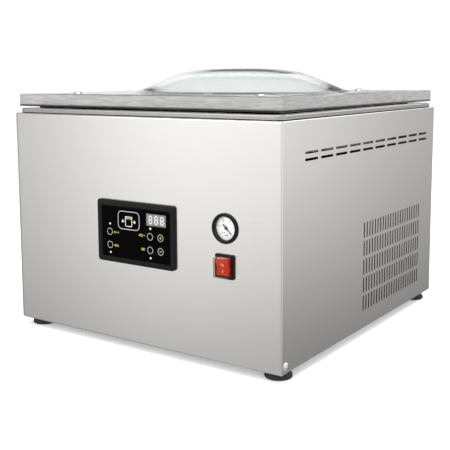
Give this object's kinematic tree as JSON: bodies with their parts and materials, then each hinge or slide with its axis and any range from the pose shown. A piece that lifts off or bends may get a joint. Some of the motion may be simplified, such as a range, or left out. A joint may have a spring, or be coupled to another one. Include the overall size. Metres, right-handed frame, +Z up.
{
  "type": "vacuum packing machine",
  "caption": "Countertop chamber vacuum packer: steel housing, clear domed lid on rear hinge, sealing bar, key panel, gauge, mains rocker, vane pump inside.",
  "frame": {"origin": "centre of the overall footprint, on the surface that the feet stand on", "axes": "+X to the machine's right seen from its front, +Y from the front to the back, +Z up"},
  "size_m": [0.4962, 0.542, 0.4123],
  "materials": {
    "stainless_sheet": "fine brushed",
    "zinc_plate": "zinc plated",
    "clear_acrylic": "polished",
    "clear_window": "polished",
    "black_silicone": "matt",
    "pad_silicone": "matt",
    "anodised_aluminium": "anodised",
    "polished_steel": "polished",
    "bronze": "machined",
    "black_paint": "satin",
    "black_moulding": "satin moulded",
    "membrane_film": "gloss",
    "key_cap": "satin",
    "display_segment": "unlit",
    "lamp_lens": "diffuse",
    "circuit_board": "lacquered",
    "dial_white": "matt",
    "needle_black": "matt",
    "rocker_red": "translucent",
    "cast_aluminium": "as cast",
    "turned_steel": "turned",
    "black_rubber": "matt",
    "resistance_wire": "drawn",
    "ptfe_tape": "woven",
    "white_polyethylene": "machined",
    "valve_brass": "machined",
    "lamination": "varnished",
    "clear_tube": "polished"
  },
  "bodies": {
    "housing": {"front_panel": "stainless_sheet", "left_side_panel": "stainless_sheet", "right_side_panel": "stainless_sheet", "back_panel": "stainless_sheet", "top_deck": "stainless_sheet", "chamber_tub": "stainless_sheet", "base_plate": "zinc_plate", "hinge_brackets": "zinc_plate", "display_window": "clear_window", "gauge_lens": "clear_window", "switch_cover": "clear_window", "oil_sight_glass": "clear_window", "screws": "polished_steel", "seal_lift_cylinders": "polished_steel", "suction_filter": "polished_steel", "hinge_bushes": "bronze", "gas_spring_cylinders": "black_paint", "fan_cowl": "black_paint", "control_bezel": "black_moulding", "gauge_case": "black_moulding", "switch_frame": "black_moulding", "power_inlet": "black_moulding", "control_membrane": "membrane_film", "display_digits": "display_segment", "indicator_lamps": "lamp_lens", "control_board": "circuit_board", "gauge_dial": "dial_white", "pump_body": "cast_aluminium", "oil_case": "cast_aluminium", "motor_housing": "cast_aluminium", "feet": "black_rubber", "pump_mounts": "black_rubber", "vacuum_hose": "black_rubber", "valve_block": "valve_brass", "transformer": "lamination", "gauge_tube": "clear_tube"},
    "lid": {"lid_plate": "clear_acrylic", "lid_gasket": "black_silicone", "lid_screws": "polished_steel", "counter_bar": "anodised_aluminium", "counter_pad": "pad_silicone", "hinge_arms": "anodised_aluminium", "hinge_shaft": "polished_steel"},
    "gas_rods": {"gas_spring_rods": "polished_steel"},
    "sealing_bar": {"seal_bar": "anodised_aluminium", "seal_wires": "resistance_wire", "seal_tape": "ptfe_tape", "seal_lift_rods": "polished_steel"},
    "filler": {"filler_plate": "white_polyethylene"},
    "rocker": {"switch_rocker": "rocker_red"},
    "pointer": {"gauge_pointer": "needle_black"},
    "motor_rotor": {"motor_shaft": "turned_steel", "pump_rotor": "turned_steel", "cooling_fan": "black_moulding"},
    "key_pump_cap": {"key_pump": "key_cap"},
    "key_stop_cap": {"key_stop": "key_cap"},
    "key_vacuum_cap": {"key_vacuum": "key_cap"},
    "key_seal_cap": {"key_seal": "key_cap"},
    "key_plus_cap": {"key_plus": "key_cap"},
    "key_minus_cap": {"key_minus": "key_cap"}
  },
  "joints": [
    {"name": "lid_hinge", "type": "hinge", "parent": "housing", "child": "lid", "pos_m": [0, 0.254, 0.328], "axis": [-1, 0, 0], "range_deg": [0, 60]},
    {"name": "gas_rod_slide", "type": "slide", "parent": "housing", "child": "gas_rods", "axis": [0, 0, 1], "range_m": [0, 0.0262]},
    {"name": "seal_bar_lift", "type": "slide", "parent": "housing", "child": "sealing_bar", "axis": [0, 0, 1], "range_m": [0, 0.01]},
    {"name": "filler_lift", "type": "slide", "parent": "housing", "child": "filler", "axis": [0, 0, 1], "range_m": [0, 0.1]},
    {"name": "switch_toggle", "type": "hinge", "parent": "housing", "child": "rocker", "pos_m": [0.1564, -0.256, 0.1476], "axis": [1, 0, 0], "range_deg": [-16, 0]},
    {"name": "gauge_needle", "type": "hinge", "parent": "housing", "child": "pointer", "pos_m": [0.1565, -0.257, 0.1992], "axis": [0, 1, 0], "range_deg": [-270, 0], "stiffness_Nm_per_rad": 0.002},
    {"name": "motor_spin", "type": "hinge", "parent": "housing", "child": "motor_rotor", "pos_m": [0, 0.093, 0.105], "axis": [1, 0, 0], "continuous": true},
    {"name": "key_pump_press", "type": "slide", "parent": "housing", "child": "key_pump_cap", "axis": [0, 1, 0], "range_m": [0, 0.0005], "stiffness_N_per_m": 3000},
    {"name": "key_stop_press", "type": "slide", "parent": "housing", "child": "key_stop_cap", "axis": [0, 1, 0], "range_m": [0, 0.0005], "stiffness_N_per_m": 3000},
    {"name": "key_vacuum_press", "type": "slide", "parent": "housing", "child": "key_vacuum_cap", "axis": [0, 1, 0], "range_m": [0, 0.0005], "stiffness_N_per_m": 3000},
    {"name": "key_seal_press", "type": "slide", "parent": "housing", "child": "key_seal_cap", "axis": [0, 1, 0], "range_m": [0, 0.0005], "stiffness_N_per_m": 3000},
    {"name": "key_plus_press", "type": "slide", "parent": "housing", "child": "key_plus_cap", "axis": [0, 1, 0], "range_m": [0, 0.0005], "stiffness_N_per_m": 3000},
    {"name": "key_minus_press", "type": "slide", "parent": "housing", "child": "key_minus_cap", "axis": [0, 1, 0], "range_m": [0, 0.0005], "stiffness_N_per_m": 3000}
  ],
  "couplings": [
    {"joint": "gas_rod_slide", "follows": "lid_hinge", "m_per_rad": 0.02481}
  ]
}
